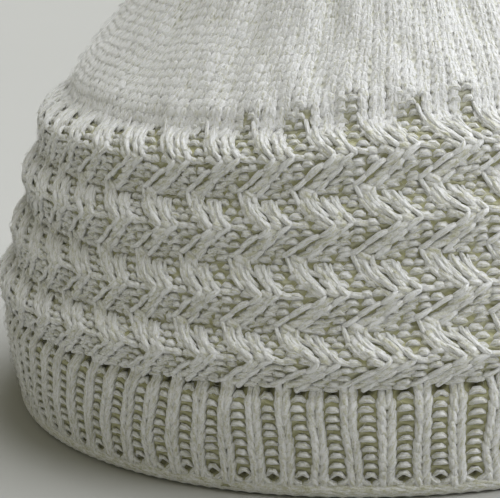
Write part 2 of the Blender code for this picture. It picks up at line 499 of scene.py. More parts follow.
class CapSurface:
    """The crests of the knitting, as points and normals over turns and distance up the side."""

    def __init__(self, fold_depth):
        self.fold_depth = fold_depth

    def folds(self, angle, along):
        """How far the crown is drawn in: the sum of valleys at fixed angles. Each is its reach
        times its share to a power times exp(-(angle off its middle / width)^2)."""
        share = (along - CROWN_FOOT) / (APEX - CROWN_FOOT)
        places = np.radians([row[0] for row in LONG_FOLDS])
        gaps = np.mod(places - np.roll(places, -1), 2 * np.pi)
        folds = [(place, *row[1:]) for place, row in zip(places, LONG_FOLDS)]
        folds += [(place - gap / 2, *SHORT_FOLD) for place, gap in zip(places, gaps)]
        narrow = 1 - FOLD_NARROWING * smooth(*FOLD_NARROWS, share)
        total = 0 * angle
        for place, start, reach, width in folds:
            off = np.arctan2(np.sin(angle - place), np.cos(angle - place))
            rise = np.clip((share - start) / (1 - start), 0, 1)
            valley = np.exp(-((off / np.radians(width) / narrow) ** 2))
            total = total + reach * rise**FOLD_POWER * valley
        return self.fold_depth * total * np.clip((1 - share) / FOLD_END, 0, 1)

    def point(self, turn, along, lift):
        """A point lift outside the crests: the side curve turned by the angle, less the folds."""
        apart = np.clip((APEX - along) / STRAY_END, 0, 1)
        side, rise = drift(turn, along)
        turn, along, lift = (
            turn + side / WALES + STRAY_SIDE / WALES * apart * stray(turn, along, SEED),
            along + rise * ROW_HEIGHT + STRAY_RISE * apart * stray(turn, along, SEED + 1),
            lift + STRAY_LIFT * stray(turn, along, SEED + 2) + tier_swell(along),
        )
        angle = around(turn)
        at = np.clip(along, 0, APEX)
        radius = np.interp(at, ALONG, CURVE[:, 0])
        height = np.interp(at, ALONG, CURVE[:, 1]) + np.minimum(along, 0)
        run = np.interp(at, ALONG, RUN)
        rise = np.interp(at, ALONG, RISE)
        drawn = lift - self.folds(angle, along)
        radius = np.maximum(radius + drawn * rise, CLOSEST)
        height = height - drawn * run
        return np.stack([radius * np.sin(angle), -radius * np.cos(angle), height], axis=-1)

    def place(self, turn, along, lift):
        """The point, and the outward normal as the cross product of the surface's two slopes."""
        turn, along, lift = np.broadcast_arrays(
            np.asarray(turn, float), np.asarray(along, float), np.asarray(lift, float)
        )
        step = 2e-4
        across = self.point(turn + step, along, lift) - self.point(turn - step, along, lift)
        up = self.point(turn, along + step, lift) - self.point(turn, along - step, lift)
        normal = np.cross(across, up)
        normal /= np.maximum(np.linalg.norm(normal, axis=-1, keepdims=True), 1e-12)
        return self.point(turn, along, lift), normal


def roll_place(turn, share, lift):
    """A point of the rolled hem, share 0 on its top and 1 right under it. With a = pi / 2 less
    pi times the share, its radius is ring + (deep + lift) cos a and its height
    tall + (tall + lift) sin a."""
    angle = around(turn)
    tall = RIM_TOP / 2
    lean = np.pi * (0.5 - share)
    radius = HEM_RING + (HEM_DEEP + lift) * np.cos(lean)
    height = tall + (tall + lift) * np.sin(lean)
    return np.stack([radius * np.sin(angle), -radius * np.cos(angle), height], axis=-1)


def rib_along(row):
    """The rows of the rib are even, and the first ones begin behind the hem."""
    return (row - RIB_SUNK) / RIB_ROWS * WAVE_FOOT


def wave_along(row):
    """The rows of the waves stand at even heights, so further apart where the side leans in."""
    height = WAVE_LOW + row / WAVE_ROWS * (WAVE_HIGH - WAVE_LOW)
    return np.interp(height, HEIGHTS, ALONG[: len(HEIGHTS)])


def wave_share(along):
    """0 at the foot of the waves and 1 at their top, even in height."""
    return (np.interp(along, ALONG, CURVE[:, 1]) - WAVE_LOW) / (WAVE_HIGH - WAVE_LOW)


def crown_along(row):
    """The rows of the crown are even along its side."""
    return CROWN_FOOT + row / CROWN_ROWS * (APEX - CROWN_FOOT)


def sway(row):
    """Sideways place of the waves in wales: in each tier straight to the right from the corner's
    row to the tip's row and straight back up to the next corner."""
    row = np.asarray(row)
    tier_rows = WAVE_ROWS / TIERS
    climb = TIP_ROW - CORNER_ROW
    rise = np.mod(row - CORNER_ROW, tier_rows)
    swing = np.where(rise < climb, rise / climb, (tier_rows - rise) / (tier_rows - climb))
    return SWING * swing + LEAN * row / WAVE_ROWS


def tier_swell(along):
    """The pull of the zigzags bends the side into level ridges: a cosine with its crests near the
    tips of the waves, faded out over the crown's first rows and the rib's last ones."""
    share = wave_share(along)
    fade = smooth(*SWELL_IN, share) * (1 - smooth(*SWELL_OUT, share))
    return TIER_SWELL * fade * (np.cos(2 * np.pi * (share * TIERS - SWELL_CREST)) - SWELL_INWARDS)


def strand_arrays(points, normals, wide, thick, sides):
    """Closed tubes along the points, pointed at both ends.

    At each inner station the ring is centre + side * wide * cos(a) + up * thick * sin(a),
    where side is tangent x normal and up is side x tangent.
    """
    count, stations = points.shape[:2]
    tangent = np.gradient(points, axis=1)
    tangent /= np.linalg.norm(tangent, axis=-1, keepdims=True)
    side = np.cross(tangent, normals)
    side /= np.linalg.norm(side, axis=-1, keepdims=True)
    up = np.cross(side, tangent)
    a = 2 * np.pi * (np.arange(sides) + 0.5 * (sides % 2)) / sides + np.pi / 2 * (sides % 2)
    inner = slice(1, stations - 1)
    wide = np.broadcast_to(wide, (count, stations))[:, inner, None, None]
    thick = np.broadcast_to(thick, (count, stations))[:, inner, None, None]
    rings = (
        points[:, inner, None]
        + side[:, inner, None] * wide * np.cos(a)[:, None]
        + up[:, inner, None] * thick * np.sin(a)[:, None]
    )
    return np.concatenate([rings.reshape(count, -1, 3), points[:, :1], points[:, -1:]], axis=1)


def strand_corners(stations, sides):
    """Corners of one strand's quads and of the triangles at its tips, with the station and the
    side of each corner for the UVs."""
    rings = stations - 2
    k = np.arange(sides)
    n = (k + 1) % sides
    r = np.arange(rings - 1)[:, None] * sides
    quads = np.stack([r + k, r + sides + k, r + sides + n, r + n], axis=-1).reshape(-1, 4)
    station = np.repeat(np.arange(1, rings), sides)
    side = np.tile(k, rings - 1)
    quad_u = np.stack([station, station + 1, station + 1, station], axis=-1)
    quad_v = np.stack([side, side, side + 1, side + 1], axis=-1)
    last = (rings - 1) * sides
    start, end = rings * sides, rings * sides + 1
    tris = np.concatenate(
        [
            np.stack([0 * k + start, k, n], axis=-1),
            np.stack([last + k, 0 * k + end, last + n], axis=-1),
        ]
    )
    one = 0 * k
    tri_u = np.concatenate(
        [
            np.stack([one, one + 1, one + 1], axis=-1),
            np.stack([one + rings, one + rings + 1, one + rings], axis=-1),
        ]
    )
    tri_v = np.concatenate(
        [np.stack([k + 0.5, k, k + 1], axis=-1), np.stack([k, k + 0.5, k + 1], axis=-1)]
    )
    return quads, quad_u, quad_v, tris, tri_u, tri_v


class Strands:
    """Gathers bundles of like strands on one surface and makes one mesh of them."""

    def __init__(self, surface, yarn, seed):
        self.surface = surface
        self.yarn = yarn
        self.random = np.random.default_rng(seed)
        self.bundles = []

    def wobble(self, like, amount):
        """A small steady shift for each strand of a bundle, as a column like the given one."""
        return amount * self.random.standard_normal((len(like), 1))

    def add(
        self,
        turn,
        along,
        lift,
        wide=1.0,
        thick=1.0,
        sides=4,
        taper=0.85,
        flat=False,
        pale=0.0,
    ):
        """turn and along are (strand, station) arrays, and lift is the height of the yarn's
        outer side above the crests, in half yarns; wide and thick are shares of half the yarn,
        and taper is the share of both next to the tips. A flat strand of four sides has a crease
        along both its edges, and so looks low, not round. Each strand gets painted shade that
        grows with how deep it lies, and pale takes away that much of this painted shade."""
        half = self.yarn / 2
        turn, along, lift = np.broadcast_arrays(turn, along, lift)
        count, stations = turn.shape
        points, normals = self.surface.place(turn, along, (lift - 1) * half)
        ends = np.ones(stations)
        ends[1] = ends[-2] = taper
        jitter = 1 + STRAND_SPREAD * self.random.standard_normal((count, 1))
        jitter = jitter + STRAND_WAVER * self.random.standard_normal((count, stations))
        verts = strand_arrays(
            points, normals, half * wide * ends * jitter, half * thick * ends * jitter, sides
        )
        steps = np.linalg.norm(np.diff(points, axis=1), axis=-1)
        length = np.concatenate([np.zeros((count, 1)), np.cumsum(steps, axis=1)], axis=1)
        length = length / self.yarn + self.random.random((count, 1)) * FIBRE_START
        # Painted shade: the deeper a strand lies, the further its colour is mixed towards the
        # shade colour
        painted_shade = np.clip(-DEPTH_PAINTED_SHADE * lift, 0, 1) - pale
        tone = self.random.random((count, 1))
        self.bundles.append((verts, length, painted_shade, tone, sides, flat))

    def mesh(self, name):
        """One mesh of all bundles, with a UV map along the yarn, painted shade and tone."""
        cos, corners, starts, uvs, painted_shades, tones, creases = [], [], [], [], [], [], []
        base = corner_base = 0
        for verts, length, painted_shade, tone, sides, flat in self.bundles:
            count, stations = length.shape
            per = verts.shape[1]
            quads, quad_u, quad_v, tris, tri_u, tri_v = strand_corners(stations, sides)
            offset = base + (np.arange(count) * per)[:, None, None]
            for faces, u, v in ((quads, quad_u, quad_v), (tris, tri_u, tri_v)):
                size = faces.shape[1]
                corners.append((offset + faces).reshape(-1))
                number = count * len(faces)
                starts.append(corner_base + np.arange(number) * size)
                corner_base += number * size
                across = np.broadcast_to(v / sides, (count, *v.shape))
                uvs.append(np.stack([length[:, u], across], axis=-1).reshape(-1, 2))
            ring_painted_shade = np.repeat(painted_shade[:, 1:-1], sides, axis=1)
            all_painted_shade = np.concatenate([ring_painted_shade, painted_shade[:, :1], painted_shade[:, -1:]], axis=1)
            painted_shades.append(all_painted_shade.reshape(-1))
            tones.append(np.repeat(tone, per, axis=1).reshape(-1))
            cos.append(verts.reshape(-1, 3))
            crease = (np.arange(per) % 2 == 0) & (np.arange(per) < per - 2) & flat
            creases.append(np.tile(crease, count))
            base += count * per
        return make_mesh(
            name,
            np.concatenate(cos),
            np.concatenate(corners),
            np.concatenate(starts),
            np.concatenate(uvs),
            {"painted_shade": np.concatenate(painted_shades), "tone": np.concatenate(tones)},
            np.concatenate(creases),
        )


def make_mesh(name, co, corners, starts, uv, values, crease=None):
    """A smooth mesh from flat arrays: points, face corners, where each face starts, UVs and
    values of the points. An edge between two crease points is sharp."""
    mesh = bpy.data.meshes.new(name)
    mesh.vertices.add(len(co))
    mesh.vertices.foreach_set("co", co.astype(np.float32).ravel())
    mesh.loops.add(len(corners))
    mesh.loops.foreach_set("vertex_index", corners.astype(np.int32))
    mesh.polygons.add(len(starts))
    mesh.polygons.foreach_set("loop_start", starts.astype(np.int32))
    mesh.update(calc_edges=True)
    layer = mesh.uv_layers.new(name="yarn")
    layer.data.foreach_set("uv", uv.astype(np.float32).ravel())
    for key, value in values.items():
        attribute = mesh.attributes.new(key, "FLOAT", "POINT")
        attribute.data.foreach_set("value", value.astype(np.float32))
    mesh.shade_smooth()
    if crease is not None and crease.any():
        ends = np.empty(2 * len(mesh.edges), dtype=np.int32)
        mesh.edges.foreach_get("vertices", ends)
        sharp = mesh.attributes.new("sharp_edge", "BOOLEAN", "EDGE")
        sharp.data.foreach_set("value", crease[ends].reshape(-1, 2).all(axis=1))
    return mesh


def grid_mesh(name, points, v, values, poles=None, round_scale=1.0):
    """Quads over points[row, column], closed round its columns. Without poles the last row joins
    the first, as on a ring; with them each end row is closed by triangles to its pole. The UV
    map goes round_scale times round the columns, and takes v from the rows."""
    rows, columns = points.shape[:2]
    r = np.arange(rows if poles is None else rows - 1)[:, None]
    c = np.arange(columns)[None]
    r2, c2 = (r + 1) % rows, (c + 1) % columns
    quads = np.stack([r * columns + c, r * columns + c2, r2 * columns + c2, r2 * columns + c], -1)
    u = np.stack([c, c + 1, c + 1, c], axis=-1) / columns * round_scale + 0 * r[..., None]
    high = v[np.minimum(r + 1, rows - 1)]
    uv = np.stack([u, np.stack([v[r], v[r], high, high], axis=-1) + 0 * c[..., None]], axis=-1)
    corners, uv = quads.reshape(-1), uv.reshape(-1, 2)
    starts = np.arange(len(corners) // 4) * 4
    points = points.reshape(-1, 3)
    values = {key: value.reshape(-1) for key, value in values.items()}
    if poles is not None:
        c = np.arange(columns)
        c2 = (c + 1) % columns
        first, last, top = len(points), len(points) + 1, (rows - 1) * columns
        fans = (
            np.stack([c * 0 + first, c2, c], axis=-1),
            np.stack([top + c, top + c2, c * 0 + last], axis=-1),
        )
        starts = np.concatenate([starts, len(corners) + np.arange(2 * columns) * 3])
        corners = np.concatenate([corners, *[fan.reshape(-1) for fan in fans]])
        ends = np.repeat([v[0], v[-1]], 3 * columns)
        uv = np.concatenate([uv, np.stack([np.tile(np.repeat(c / columns, 3), 2), ends], -1)])
        points = np.concatenate([points, poles])
        values = {key: np.r_[value, value[0], value[-1]] for key, value in values.items()}
    return make_mesh(name, points, corners, starts, uv, values)


class Sock:
    """A shader socket that takes part in Python expressions; each operator adds one Math node."""

    def __init__(self, tree, socket):
        self.tree = tree
        self.socket = socket

    def node(self, kind, settings=(), **values):
        """Any node: its settings are set first, then the values or links of its sockets, each by
        the socket's name with _ for a space, or by its number after a _."""
        made = self.tree.nodes.new(kind)
        for key, value in dict(settings).items():
            setattr(made, key, value)
        for key, value in values.items():
            place = int(key[1:]) if key[0] == "_" else key.replace("_", " ")
            if isinstance(value, Sock):
                self.tree.links.new(value.socket, made.inputs[place])
            else:
                made.inputs[place].default_value = value
        return made

    def math(self, operation, *values):
        places = {f"_{number}": value for number, value in enumerate(values)}
        made = self.node("ShaderNodeMath", {"operation": operation}, **places)
        return Sock(self.tree, made.outputs[0])

    def __add__(self, other):
        return self.math("ADD", self, other)

    def __sub__(self, other):
        return self.math("SUBTRACT", self, other)

    def __mul__(self, other):
        return self.math("MULTIPLY", self, other)

    def __radd__(self, other):
        return self.math("ADD", other, self)

    def __rsub__(self, other):
        return self.math("SUBTRACT", other, self)

    def __rmul__(self, other):
        return self.math("MULTIPLY", other, self)

    def sin(self):
        return self.math("SINE", self)

    def absolute(self):
        return self.math("ABSOLUTE", self)

    def clamp(self):
        made = self.node("ShaderNodeClamp", (), Value=self)
        return Sock(self.tree, made.outputs[0])

    def mix(self, first, second):
        """Mixes two colours by this value."""
        made = self.node(
            "ShaderNodeMix",
            {"data_type": "RGBA", "clamp_factor": True},
            _0=self,
            _6=first,
            _7=second,
        )
        return Sock(self.tree, made.outputs[2])


def new_material(name):
    """An empty material, its tree's first socket maker and its shader."""
    material = bpy.data.materials.new(name)
    material.use_nodes = True
    tree = material.node_tree
    return material, Sock(tree, None), tree.nodes["Principled BSDF"]


def opaque(colour):
    """A colour of three numbers made one of four, with nothing seen through it."""
    return (*colour, 1.0)


def yarn_place(maker):
    """The two values of the UV map: along the yarn and round it, or across and up the wall."""
    uv = maker.node("ShaderNodeUVMap", {"uv_map": "yarn"})
    split = maker.node("ShaderNodeSeparateXYZ", (), _0=Sock(maker.tree, uv.outputs[0]))
    return Sock(maker.tree, split.outputs[0]), Sock(maker.tree, split.outputs[1])


def point_value(maker, name):
    """A value that the mesh keeps for each of its points."""
    made = maker.node("ShaderNodeAttribute", {"attribute_name": name})
    return Sock(maker.tree, made.outputs[2])


def object_noise(maker, **values):
    """Noise on the piece's own coordinates."""
    place = Sock(maker.tree, maker.node("ShaderNodeTexCoord").outputs["Object"])
    made = maker.node("ShaderNodeTexNoise", (), Vector=place, **values)
    return Sock(maker.tree, made.outputs[0])


def yarn_material(name, settings):
    """Twisted cotton: grooves between the plies where a sine of the way round the strand and
    along it is 0, fine fibres along the strand and fuzz, and painted shade in the hollows
    and the ply grooves."""
    material, maker, shader = new_material(name)
    tree = material.node_tree
    u, v = yarn_place(maker)
    plies, twist = 5.0, 0.42
    ply = ((v * plies + u * twist) * np.pi).sin().absolute()
    stretched = maker.node("ShaderNodeCombineXYZ", (), _0=u * 0.5 + v * 1.0, _1=v * 6.0, _2=0.0)
    fibres = maker.node(
        "ShaderNodeTexNoise",
        {"noise_dimensions": "2D"},
        Vector=Sock(tree, stretched.outputs[0]),
        Scale=1.2,
        Detail=2.0,
        Roughness=0.6,
    )
    fibre = Sock(tree, fibres.outputs[0])
    fuzz = object_noise(maker, Scale=2600.0, Detail=1.0)
    painted_shade, tone = point_value(maker, "painted_shade"), point_value(maker, "tone")
    # The ply grooves get a little painted shade; the fibre streaks and the fuzz are the yarn's
    # own mottling
    streaks = (1.0 - ply) * 0.06 + (fibre - 0.5) * 2.0 + (fuzz - 0.5) * 1.0
    # Painted shade from each strand's depth, with the streaks and a random tone, mixes the cotton
    # towards the shade colour
    shade = (painted_shade * 0.8 + 0.12 + streaks + (tone - 0.5) * 0.08).clamp()
    colour = shade.mix(opaque(settings.cotton), opaque(settings.shade_colour))
    tree.links.new(colour.socket, shader.inputs["Base Color"])
    height = ply * 0.4 + fibre * 1.4 + fuzz * 0.8
    bump = maker.node(
        "ShaderNodeBump", (), Height=height, Distance=settings.ply_depth, Strength=0.9
    )
    tree.links.new(bump.outputs[0], shader.inputs["Normal"])
    shader.inputs["Roughness"].default_value = 0.78
    shader.inputs["Specular IOR Level"].default_value = 0.22
    shader.inputs["Sheen Weight"].default_value = 1.0
    shader.inputs["Sheen Roughness"].default_value = 0.5
    return material


def backing_material(name, settings):
    """The wrong side of the knitting: rows of arcs, sines of the row that a smaller sine of the
    wale bends, with grain on them. It carries painted shade between the arcs and in the gaps
    outside the cap, less inside it, and the deepest painted shade in the groove and the eyes."""
    material, maker, shader = new_material(name)
    tree = material.node_tree
    u, v = yarn_place(maker)
    wale = u * float(WALES) * 2 * np.pi
    arcs = ((v + wale.sin() * 0.17) * np.pi * 2).sin() * 0.5 + 0.5
    bumps = arcs * (((wale * 0.5).sin().absolute()) * 0.35 + 0.65)
    grain = object_noise(maker, Scale=900.0, Detail=2.0)
    # Painted shade: the wall's own value and more between the arcs, with the real grain on top
    shade = point_value(maker, "painted_shade") + (1.0 - bumps) * 0.30 + (grain - 0.5) * 0.25
    # A near-black olive, painted shade for the groove and the eyes where the shade goes past 1
    deep = [0.14 * part for part in settings.shade_colour]
    colour = shade.clamp().mix(opaque(settings.cotton), opaque(settings.shade_colour))
    colour = (shade - 1.0).clamp().mix(colour, opaque(deep))
    tree.links.new(colour.socket, shader.inputs["Base Color"])
    bump = maker.node(
        "ShaderNodeBump", (), Height=bumps + grain * 0.2, Distance=0.0006, Strength=0.9
    )
    tree.links.new(bump.outputs[0], shader.inputs["Normal"])
    shader.inputs["Roughness"].default_value = 0.9
    shader.inputs["Specular IOR Level"].default_value = 0.15
    shader.inputs["Sheen Weight"].default_value = 0.2
    return material


def look(context, name, make):
    """The material of this name, made from the yarn's settings at its first use."""
    return bpy.data.materials.get(name) or make(name, context.scene.kufi_yarn)


def put(material, mesh, name, *nodes):
    """Links a piece that rides on the cap's one body and stands for the named nodes."""
    mesh.materials.append(material)
    piece = bpy.data.objects.new(name, mesh)
    bpy.context.scene.collection.objects.link(piece)
    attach(piece, "root")
    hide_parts(*nodes)


def put_yarn(context, mesh, name, *nodes):
    """The same for a piece of cotton yarn."""
    put(look(context, "cotton_yarn", yarn_material), mesh, name, *nodes)


def cap_surface(context):
    """The cap's surface with the panel's depth of folds."""
    return CapSurface(context.scene.kufi_shape.fold_depth)


def cap_strands(context, seed):
    """No strands yet, but with the cap's surface and yarn."""
    return Strands(cap_surface(context), context.scene.kufi_yarn.yarn, SEED + seed)


# Stations of one leg of a knit stitch, from its foot to where the next stitch covers
# it: sideways in wales, upwards in rows, and up from its place in half yarns
LEG_SIDE = 0.01 + 0.84 * np.array([0.08, 0.11, 0.19, 0.28, 0.35, 0.39, 0.38])
LEG_RISE = np.array([-0.50, -0.15, 0.30, 0.75, 1.20, 1.60, 1.95])
LEG_LIFT = np.array([-1.1, -0.35, 0.00, 0.08, 0.00, -0.35, -1.1])

# The same of the short, broad legs of the crown
STUB_SIDE = np.array([0.14, 0.21, 0.30, 0.36, 0.38])
STUB_RISE = np.array([-0.45, 0.02, 0.50, 1.10, 1.70])
STUB_LIFT = np.array([-1.0, -0.12, 0.02, -0.01, -0.35])

# Stations of the head of a purl stitch, thick in its middle
HEAD_SIDE = np.array([-0.54, -0.36, -0.13, 0.13, 0.36, 0.54])
HEAD_RISE = np.array([-0.30, -0.04, 0.18, 0.18, -0.04, -0.30])
HEAD_LIFT = np.array([-1.6, -0.50, 0.08, 0.08, -0.50, -1.6])
HEAD_WIDE = np.array([0.40, 0.72, 1.00, 1.00, 0.72, 0.40])

# Stations of the strands that close the rib's purl columns at the foot: sideways in wales,
# their rows of the rib, and up from the crests in half yarns
EYE_SIDE = np.array([0.22, 0.30, 0.45, 0.65, 0.85, 1.05])
EYE_ROW = np.array([0.80, 0.35, -0.05, -0.30, -0.40, -0.42])
EYE_LIFT = np.array([-1.4, -0.8, -0.6, -0.6, -0.8, -1.6])

# The strands of one wave in one tier: kind, thickness, and seven stations, sideways in
# hundredths of a wale from the wave's lower corner and upwards in hundredths of a row from
# the tier's foot. First those of the upper half, which falls to the right: fingers that
# stand free at their tops run down into two leads, with joining strands beside and between
FALL = (
    ("finger", 0.88, (-6, 0, 12, 26, 42, 60, 80), (900, 875, 830, 780, 730, 680, 630)),
    ("join", 0.88, (20, 32, 55, 80, 110, 145, 180), (750, 720, 660, 605, 550, 495, 460)),
    ("finger", 0.98, (70, 80, 98, 123, 152, 185, 215), (810, 785, 720, 650, 595, 545, 500)),
    ("lead", 1, (160, 179, 210, 243, 263, 273, 272), (585, 555, 510, 465, 440, 420, 400)),
    ("join", 0.92, (125, 140, 165, 195, 223, 245, 270), (725, 705, 675, 650, 625, 590, 540)),
    ("join", 1.2, (220, 240, 270, 295, 315, 330, 340), (610, 580, 540, 505, 470, 440, 410)),
    ("finger", 1.02, (230, 240, 260, 286, 315, 343, 370), (780, 750, 690, 620, 565, 520, 480)),
    ("lead", 1.05, (325, 343, 368, 388, 400, 402, 398), (555, 520, 480, 450, 435, 420, 400)),
    ("short", 0.78, (272, 277, 285, 298, 315, 335, 360), (765, 740, 690, 640, 590, 550, 510)),
    ("deep", 0.85, (150, 170, 200, 230, 250, 260, 265), (500, 475, 440, 410, 390, 375, 360)),
    ("deep", 0.85, (75, 90, 120, 150, 180, 205, 225), (660, 630, 590, 550, 515, 485, 460)),
    ("wrap", 0.85, (390, 410, 435, 460, 485, 510, 535), (430, 425, 420, 415, 412, 405, 395)),
    ("deep", 1.1, (35, 50, 70, 95, 125, 160, 195), (820, 770, 705, 640, 580, 530, 485)),
    ("join", 1.1, (105, 115, 135, 160, 195, 230, 260), (790, 750, 690, 630, 570, 520, 475)),
    ("join", 1.25, (175, 185, 205, 235, 270, 305, 335), (790, 750, 690, 630, 570, 515, 470)),
    ("deep", 1, (205, 220, 245, 275, 305, 330, 350), (730, 690, 635, 580, 530, 490, 450)),
    ("deep", 1, (260, 280, 300, 320, 340, 360, 380), (460, 450, 440, 430, 420, 410, 400)),
)

# Then those of the lower half, which climbs to the right: two leads of three strands
# each, and joining strands that come into them flatter from the right
CLIMB = (
    ("lead", 1, (275, 273, 265, 249, 228, 207, 180), (445, 420, 385, 352, 328, 308, 285)),
    ("lead", 1, (215, 195, 165, 135, 108, 80, 55), (320, 305, 280, 245, 208, 170, 135)),
    ("lead", 0.95, (95, 78, 51, 25, 4, -6, -6), (195, 170, 130, 100, 84, 75, 60)),
    ("lead", 1.05, (402, 402, 393, 365, 337, 317, 290), (460, 440, 407, 372, 340, 300, 255)),
    ("lead", 1, (325, 312, 290, 266, 242, 225, 205), (315, 290, 255, 225, 197, 165, 135)),
    ("lead", 1, (230, 220, 202, 181, 158, 142, 132), (175, 155, 120, 87, 50, 22, 0)),
    ("deep", 0.95, (345, 325, 300, 275, 250, 230, 215), (410, 395, 370, 345, 320, 300, 285)),
    ("deep", 0.95, (320, 300, 270, 240, 210, 185, 165), (340, 320, 295, 270, 245, 225, 210)),
    ("deep", 0.95, (260, 245, 220, 190, 160, 135, 115), (250, 235, 210, 185, 160, 140, 125)),
    ("deep", 0.95, (205, 190, 165, 135, 105, 80, 60), (160, 145, 125, 105, 85, 70, 55)),
    ("side", 0.88, (475, 455, 425, 395, 368, 345, 325), (375, 362, 340, 315, 290, 270, 255)),
    ("side", 0.88, (435, 415, 385, 360, 330, 305, 285), (295, 280, 260, 240, 215, 195, 180)),
    ("side", 0.88, (385, 365, 330, 300, 270, 240, 218), (210, 195, 175, 155, 130, 105, 87)),
    ("side", 0.88, (330, 310, 280, 250, 215, 190, 170), (125, 110, 90, 70, 50, 30, 15)),
    ("into", 0.82, (-95, -75, -55, -35, -20, -10, -3), (35, 45, 55, 62, 68, 72, 75)),
    ("join", 1, (136, 128, 122, 125, 136, 152, 175), (75, 35, -10, -50, -80, -105, -130)),
    ("deep", 1.1, (15, 35, 60, 85, 105, 120, 135), (95, 75, 50, 30, 10, -10, -30)),
    ("deep", 1.1, (10, 30, 50, 70, 90, 110, 130), (35, 20, 0, -20, -40, -55, -70)),
)

# For each kind of strand: how far up it lies at each station, in half yarns from the
# crests, how broad it is, and how much of the painted shade that its depth gives is taken away
KINDS = {
    "finger": ((-1.0, 0.15, 0.45, 0.42, 0.30, 0.05, -0.8), 0.90, 0.12),
    "lead": ((-0.8, 0.10, 0.38, 0.40, 0.35, 0.10, -0.8), 0.95, 0.12),
    "short": ((-0.9, 0.10, 0.20, 0.10, -0.15, -0.5, -1.4), 0.85, 0.08),
    "join": ((-1.4, -0.45, -0.05, 0.05, -0.05, -0.4, -1.3), 0.95, 0),
    "deep": ((-1.4, -0.55, -0.20, -0.12, -0.25, -0.6, -1.5), 1.4, -0.14),
    "side": ((-2.4, -1.30, -0.70, -0.35, -0.25, -0.4, -1.3), 0.95, -0.12),
    "wrap": ((-0.6, 0.10, 0.10, -0.20, -0.60, -1.2, -2.0), 1.15, 0),
    "into": ((-2.2, -1.10, -0.50, -0.15, 0.00, 0.0, -0.6), 1.15, 0),
}

# Columns of purl heads between the waves: place in wales, and the rows from and up to
# which it runs
GROUND = (
    (1.45, 0, WAVE_ROWS),
    (2.3, 0, WAVE_ROWS),
    (3.15, 0, WAVE_ROWS),
    (2.6, WAVE_ROWS, WAVE_ROWS + OPEN_ROWS),
    (3.45, WAVE_ROWS, WAVE_ROWS + OPEN_ROWS),
)


def stitch_grid(wales, rows):
    """All pairs of a wale and a row as two flat columns."""
    w, r = np.meshgrid(wales, rows)
    return w.reshape(-1, 1).astype(float), r.reshape(-1, 1).astype(float)


def closed_rows(turn):
    """How many rows of the open ground the crown is knitted over here: straight lines between
    the places of its table."""
    return np.interp(np.mod(turn + 0.5, 1) - 0.5, CLOSED_TURNS, CLOSED_ROWS)


def seam_dip(along):
    """How far the rib sinks, in half yarns, into the groove under the waves: depth times
    exp(-(distance / width)^2)."""
    return SEAM_DEPTH * np.exp(-(((along - rib_along(SEAM_ROW)) / SEAM_WIDTH) ** 2))


class KUFI_OT_rolled_hem(bpy.types.Operator):
    """Rolls the hem that the cap rests on: an oval tube with a ridge for each wale, a cosine"""

    bl_idname = "kufi.rolled_hem"
    bl_label = "Rolled Hem"

    def execute(self, context):
        rows, columns = 20, 3 * WALES
        # The fibres' pattern goes along the tube this many yarns, and this often round it
        along, over = 420, 3
        turn = np.linspace(0, 1, columns, endpoint=False)[None]
        share = np.linspace(0, 2, rows, endpoint=False)[::-1, None] + 0 * turn
        ridge = HEM_RIDGE * np.cos(2 * np.pi * WALES * turn) + 0 * share
        points = roll_place(turn + 0 * share, share, ridge - HEM_SUNK)
        # An even painted shade over the whole hem, which lies low in the shade of the cap
        values = {"painted_shade": 0.3 + 0 * share, "tone": 0.5 + 0 * share}
        v = np.linspace(0, over, rows)
        mesh = grid_mesh("hem_core", points, v, values, round_scale=along)
        put_yarn(context, mesh, "hem_core", "rim_roll")
        return {"FINISHED"}


class KUFI_OT_ribbed_band(bpy.types.Operator):
    """Knits the ribbed band: upright knit columns with purl columns lying back between them. Each
    strand goes through the stations of its table, moved to its wale and row"""

    bl_idname = "kufi.ribbed_band"
    bl_label = "Ribbed Band"

    def execute(self, context):
        strands = cap_strands(context, 1)
        back = 2 * context.scene.kufi_shape.rib_depth / strands.yarn

        # The knit columns: every second one runs on into the groove, the others end in a point
        wale, row = stitch_grid(np.arange(0, WALES, 2), np.arange(-1, RIB_ROWS + 1))
        through = np.mod(wale, 4) == 2
        kept = through[:, 0] | (row[:, 0] < RIB_ROWS)
        wale, row, through = wale[kept], row[kept], through[kept]
        for hand in (-1, 1):
            last = (row == RIB_ROWS - 1) & ~through
            side = LEG_SIDE * np.where(last, np.linspace(1, 0.5, 7), 1)
            turn = (wale + RIB_PLACE + hand * side + strands.wobble(wale, 0.02)) / WALES
            along = rib_along(row + LEG_RISE + strands.wobble(wale, 0.04))
            lift = LEG_LIFT - np.where(through, RIB_THROUGH, RIB_ENDING) * seam_dip(along)
            behind_hem = HEM_DEEPER * np.clip(HEM_TOP_ROW - row - LEG_RISE, 0, 1)
            lift = lift - RIB_DEEP - behind_hem
            strands.add(turn, along, lift, wide=1.25, thick=0.6, sides=5)

        # The purl columns: a deep arc at the foot and flatter ones above it
        for rows, bow, broad in ((np.arange(1, RIB_ROWS), 1.2, 1.05), (np.zeros(1), 2.2, 0.9)):
            wale, row = stitch_grid(np.arange(1, WALES, 2), rows)
            shift = strands.wobble(wale, 0.03)
            turn = (wale + RIB_PLACE + HEAD_SIDE * 1.02 + shift) / WALES
            at = row + RIB_HEAD_ROW + (HEAD_RISE - 0.2) * bow + strands.wobble(wale, 0.05)
            lift = HEAD_LIFT * 0.9 - back - seam_dip(rib_along(at))
            wide = broad * HEAD_WIDE
            strands.add(turn, rib_along(at), lift, wide=wide, thick=0.8 * wide)

        # The strands that run from each knit column's foot round the eye beside it
        for hand in (-1, 1):
            wale = np.arange(0.0, WALES, 2)[:, None]
            turn = (wale + RIB_PLACE + hand * EYE_SIDE + strands.wobble(wale, 0.03)) / WALES
            strands.add(turn, rib_along(EYE_ROW), EYE_LIFT, wide=1.0, thick=0.8)
        put_yarn(context, strands.mesh("rib_stitches"), "rib_stitches", "rib_band")
        return {"FINISHED"}


